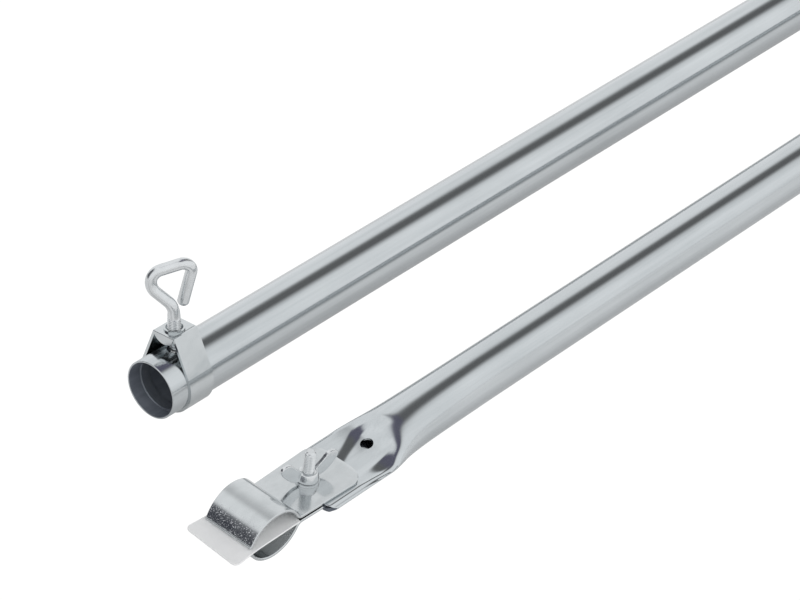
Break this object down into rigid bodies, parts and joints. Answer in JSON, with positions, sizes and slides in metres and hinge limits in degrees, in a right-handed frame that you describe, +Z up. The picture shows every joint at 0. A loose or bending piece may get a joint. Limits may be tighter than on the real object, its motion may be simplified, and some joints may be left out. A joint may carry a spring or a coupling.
{
  "type": "telescopic cargo bar",
  "caption": "Telescopic bed bar taken apart: open outer tube with collar and eye screw, inner tube with flattened end, tube clips with hinged jaws and wing nuts.",
  "frame": {"origin": "bottom centre of the whole set, on the surface that both sections lie on", "axes": "+X along both tubes, from the open mouth and near clip to the far clip; +Y towards the outer section; +Z up"},
  "size_m": [1.087, 0.157, 0.0844],
  "materials": {
    "zinc_tube": "bright zinc plate, drawn tube",
    "zinc_sheet": "bright zinc plate, pressed sheet",
    "zinc_hardware": "bright zinc plate, threads",
    "ring_steel": "dull zinc plate",
    "white_plastic": "smooth white plastic sheet",
    "black_plastic": "moulded black plastic"
  },
  "bodies": {
    "outer_section": {"outer_tube": "zinc_tube", "collar_band": "zinc_sheet", "collar_nut": "zinc_hardware", "far_lower_jaw": "zinc_sheet", "far_clip_bolt": "zinc_hardware", "far_liner_strip": "white_plastic"},
    "inner_section": {"inner_tube": "zinc_tube", "end_plug": "black_plastic", "near_lower_jaw": "zinc_sheet", "near_clip_bolt": "zinc_hardware", "near_liner_strip": "white_plastic"},
    "guide_ring": {"guide_ring": "ring_steel"},
    "pressure_pad": {"pressure_pad": "zinc_hardware"},
    "eye_screw": {"eye_screw": "zinc_hardware"},
    "near_washer": {"near_washer": "zinc_hardware"},
    "near_wing_nut": {"near_wing_nut": "zinc_hardware"},
    "near_upper_jaw": {"near_upper_jaw": "zinc_sheet"},
    "far_washer": {"far_washer": "zinc_hardware"},
    "far_wing_nut": {"far_wing_nut": "zinc_hardware"},
    "far_upper_jaw": {"far_upper_jaw": "zinc_sheet"}
  },
  "joints": [
    {"name": "telescope", "type": "slide", "parent": "outer_section", "child": "guide_ring", "axis": [1, 0, 0], "range_m": [0, 0.8]},
    {"name": "line_up", "type": "slide", "parent": "guide_ring", "child": "inner_section", "axis": [-0.9933, 0.1157, 0.0029], "range_m": [0, 0.96649]},
    {"name": "screw_press", "type": "slide", "parent": "outer_section", "child": "pressure_pad", "axis": [0, 0, -1], "range_m": [-0.006, 0.0009]},
    {"name": "eye_screw_turn", "type": "hinge", "parent": "pressure_pad", "child": "eye_screw", "pos_m": [-0.4499, 0.05423, 0.0522], "axis": [0, 0, -1], "range_deg": [-2160.01, 324.01]},
    {"name": "near_nut_lift", "type": "slide", "parent": "inner_section", "child": "near_washer", "axis": [0, -0.1392, 0.9903], "range_m": [0, 0.008]},
    {"name": "near_nut_turn", "type": "hinge", "parent": "near_washer", "child": "near_wing_nut", "pos_m": [-0.4764, -0.05813, 0.01871], "axis": [0, -0.1392, 0.9903], "range_deg": [0, 2880.01]},
    {"name": "near_jaw_open", "type": "hinge", "parent": "inner_section", "child": "near_upper_jaw", "pos_m": [-0.4525, -0.05792, 0.01723], "axis": [0, 0.9903, 0.1392], "range_deg": [0, 14.22]},
    {"name": "far_nut_lift", "type": "slide", "parent": "outer_section", "child": "far_washer", "axis": [0, 0, 1], "range_m": [0, 0.008]},
    {"name": "far_nut_turn", "type": "hinge", "parent": "far_washer", "child": "far_wing_nut", "pos_m": [0.4764, 0.05423, 0.02155], "axis": [0, 0, 1], "range_deg": [0, 2880.01]},
    {"name": "far_jaw_open", "type": "hinge", "parent": "outer_section", "child": "far_upper_jaw", "pos_m": [0.4525, 0.05423, 0.02005], "axis": [0, -1, 0], "range_deg": [0, 14.22]}
  ],
  "couplings": [
    {"joint": "eye_screw_turn", "follows": "screw_press", "rad_per_m": 6283.2},
    {"joint": "near_nut_turn", "follows": "near_nut_lift", "rad_per_m": 6283.2},
    {"joint": "near_jaw_open", "follows": "near_nut_lift", "rad_per_m": 31},
    {"joint": "far_nut_turn", "follows": "far_nut_lift", "rad_per_m": 6283.2},
    {"joint": "far_jaw_open", "follows": "far_nut_lift", "rad_per_m": 31}
  ]
}
